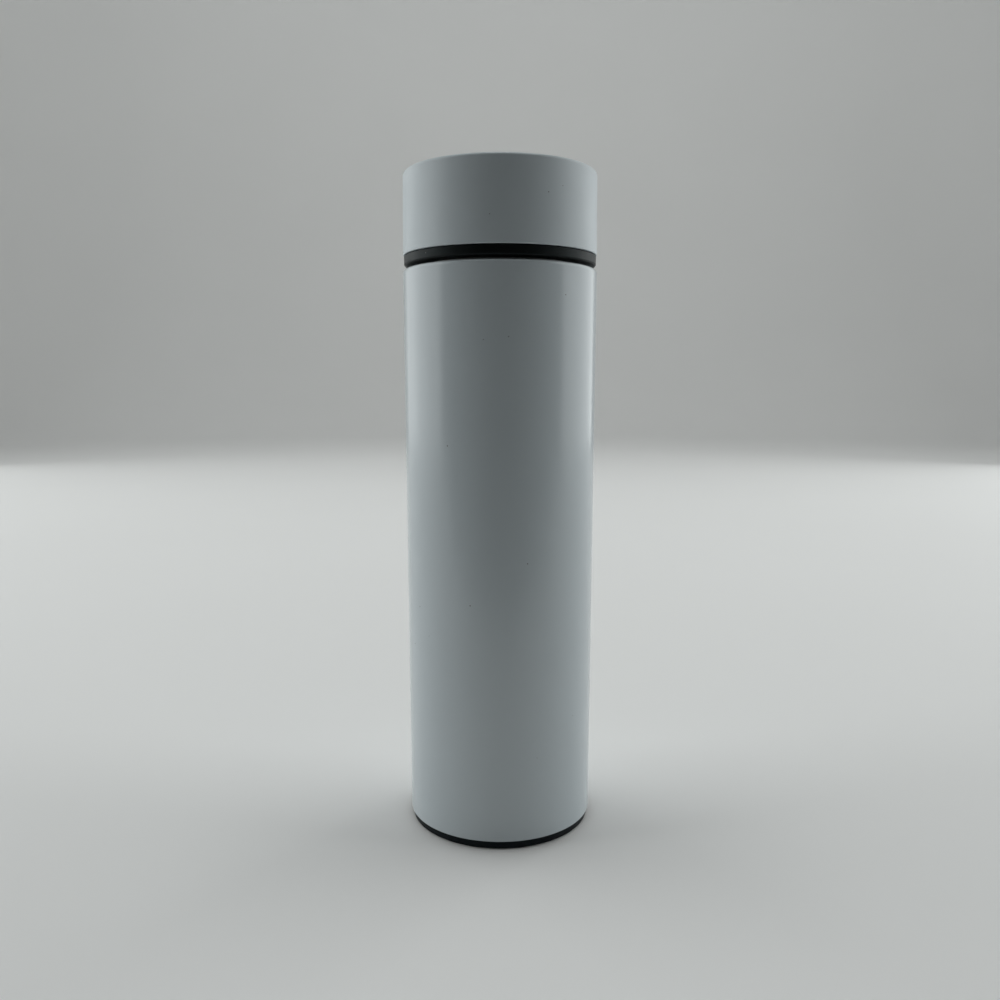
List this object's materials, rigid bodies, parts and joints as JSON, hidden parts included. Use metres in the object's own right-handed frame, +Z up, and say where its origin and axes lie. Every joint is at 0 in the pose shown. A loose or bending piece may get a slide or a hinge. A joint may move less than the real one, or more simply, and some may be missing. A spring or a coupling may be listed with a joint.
{
  "type": "vacuum flask",
  "caption": "Straight cylindrical insulated flask: white coated double steel wall, black base band, and a screw lid with a flat display disc over a black plug ring.",
  "frame": {"origin": "on the flask's axis, at the height of the surface it stands on", "axes": "+Z up along the flask's axis; the display reads the right way up for a viewer at -Y"},
  "size_m": [0.065, 0.065, 0.2236],
  "materials": {
    "shell_coat": "gloss white coat on steel",
    "liner_steel": "electropolished stainless",
    "base_steel": "pressed stainless",
    "solder_glass": "fused, glossy",
    "getter_metal": "sintered, matt",
    "foil": "copper foil, bright",
    "base_plastic": "fine satin black",
    "gasket_silicone": "translucent white silicone",
    "cap_plastic": "satin white",
    "lens": "polished smoked",
    "display": "dark, with unlit digits",
    "board": "green solder mask",
    "screw_steel": "plated",
    "spring_steel": "bright",
    "cell_steel": "nickel plated",
    "plug_plastic": "satin black",
    "foam": "open white foam",
    "probe_steel": "polished stainless",
    "seal_silicone": "translucent white silicone",
    "epoxy": "black epoxy bead",
    "lead_red": "smooth insulation",
    "lead_black": "smooth insulation"
  },
  "bodies": {
    "vessel": {"outer_shell": "shell_coat", "inner_liner": "liner_steel", "outer_base": "base_steel", "vacuum_seal": "solder_glass", "getter": "getter_metal", "radiation_foil": "foil", "base_cover": "base_plastic"},
    "lid_seal": {"lid_gasket": "gasket_silicone"},
    "lid": {"lid_plug": "plug_plastic", "cap_shell": "cap_plastic", "display_lens": "lens", "display_module": "display", "circuit_board": "board", "board_screw_1": "screw_steel", "board_screw_2": "screw_steel", "board_screw_3": "screw_steel", "touch_spring": "spring_steel", "battery": "cell_steel", "battery_clip": "spring_steel", "plug_insulation": "foam", "sensor_probe": "probe_steel", "probe_seal": "seal_silicone", "probe_nut": "screw_steel", "thermistor": "epoxy", "sensor_lead_1": "lead_red", "sensor_lead_2": "lead_black"}
  },
  "joints": [
    {"name": "lid_rise", "type": "slide", "parent": "vessel", "child": "lid_seal", "axis": [0, 0, 1], "range_m": [0, 0.0281]},
    {"name": "lid_turn", "type": "hinge", "parent": "lid_seal", "child": "lid", "pos_m": [0, 0, 0.1927], "axis": [0, 0, 1], "range_deg": [0, 1260]}
  ],
  "couplings": [
    {"joint": "lid_rise", "follows": "lid_turn", "m_per_rad": 0.0012732}
  ]
}
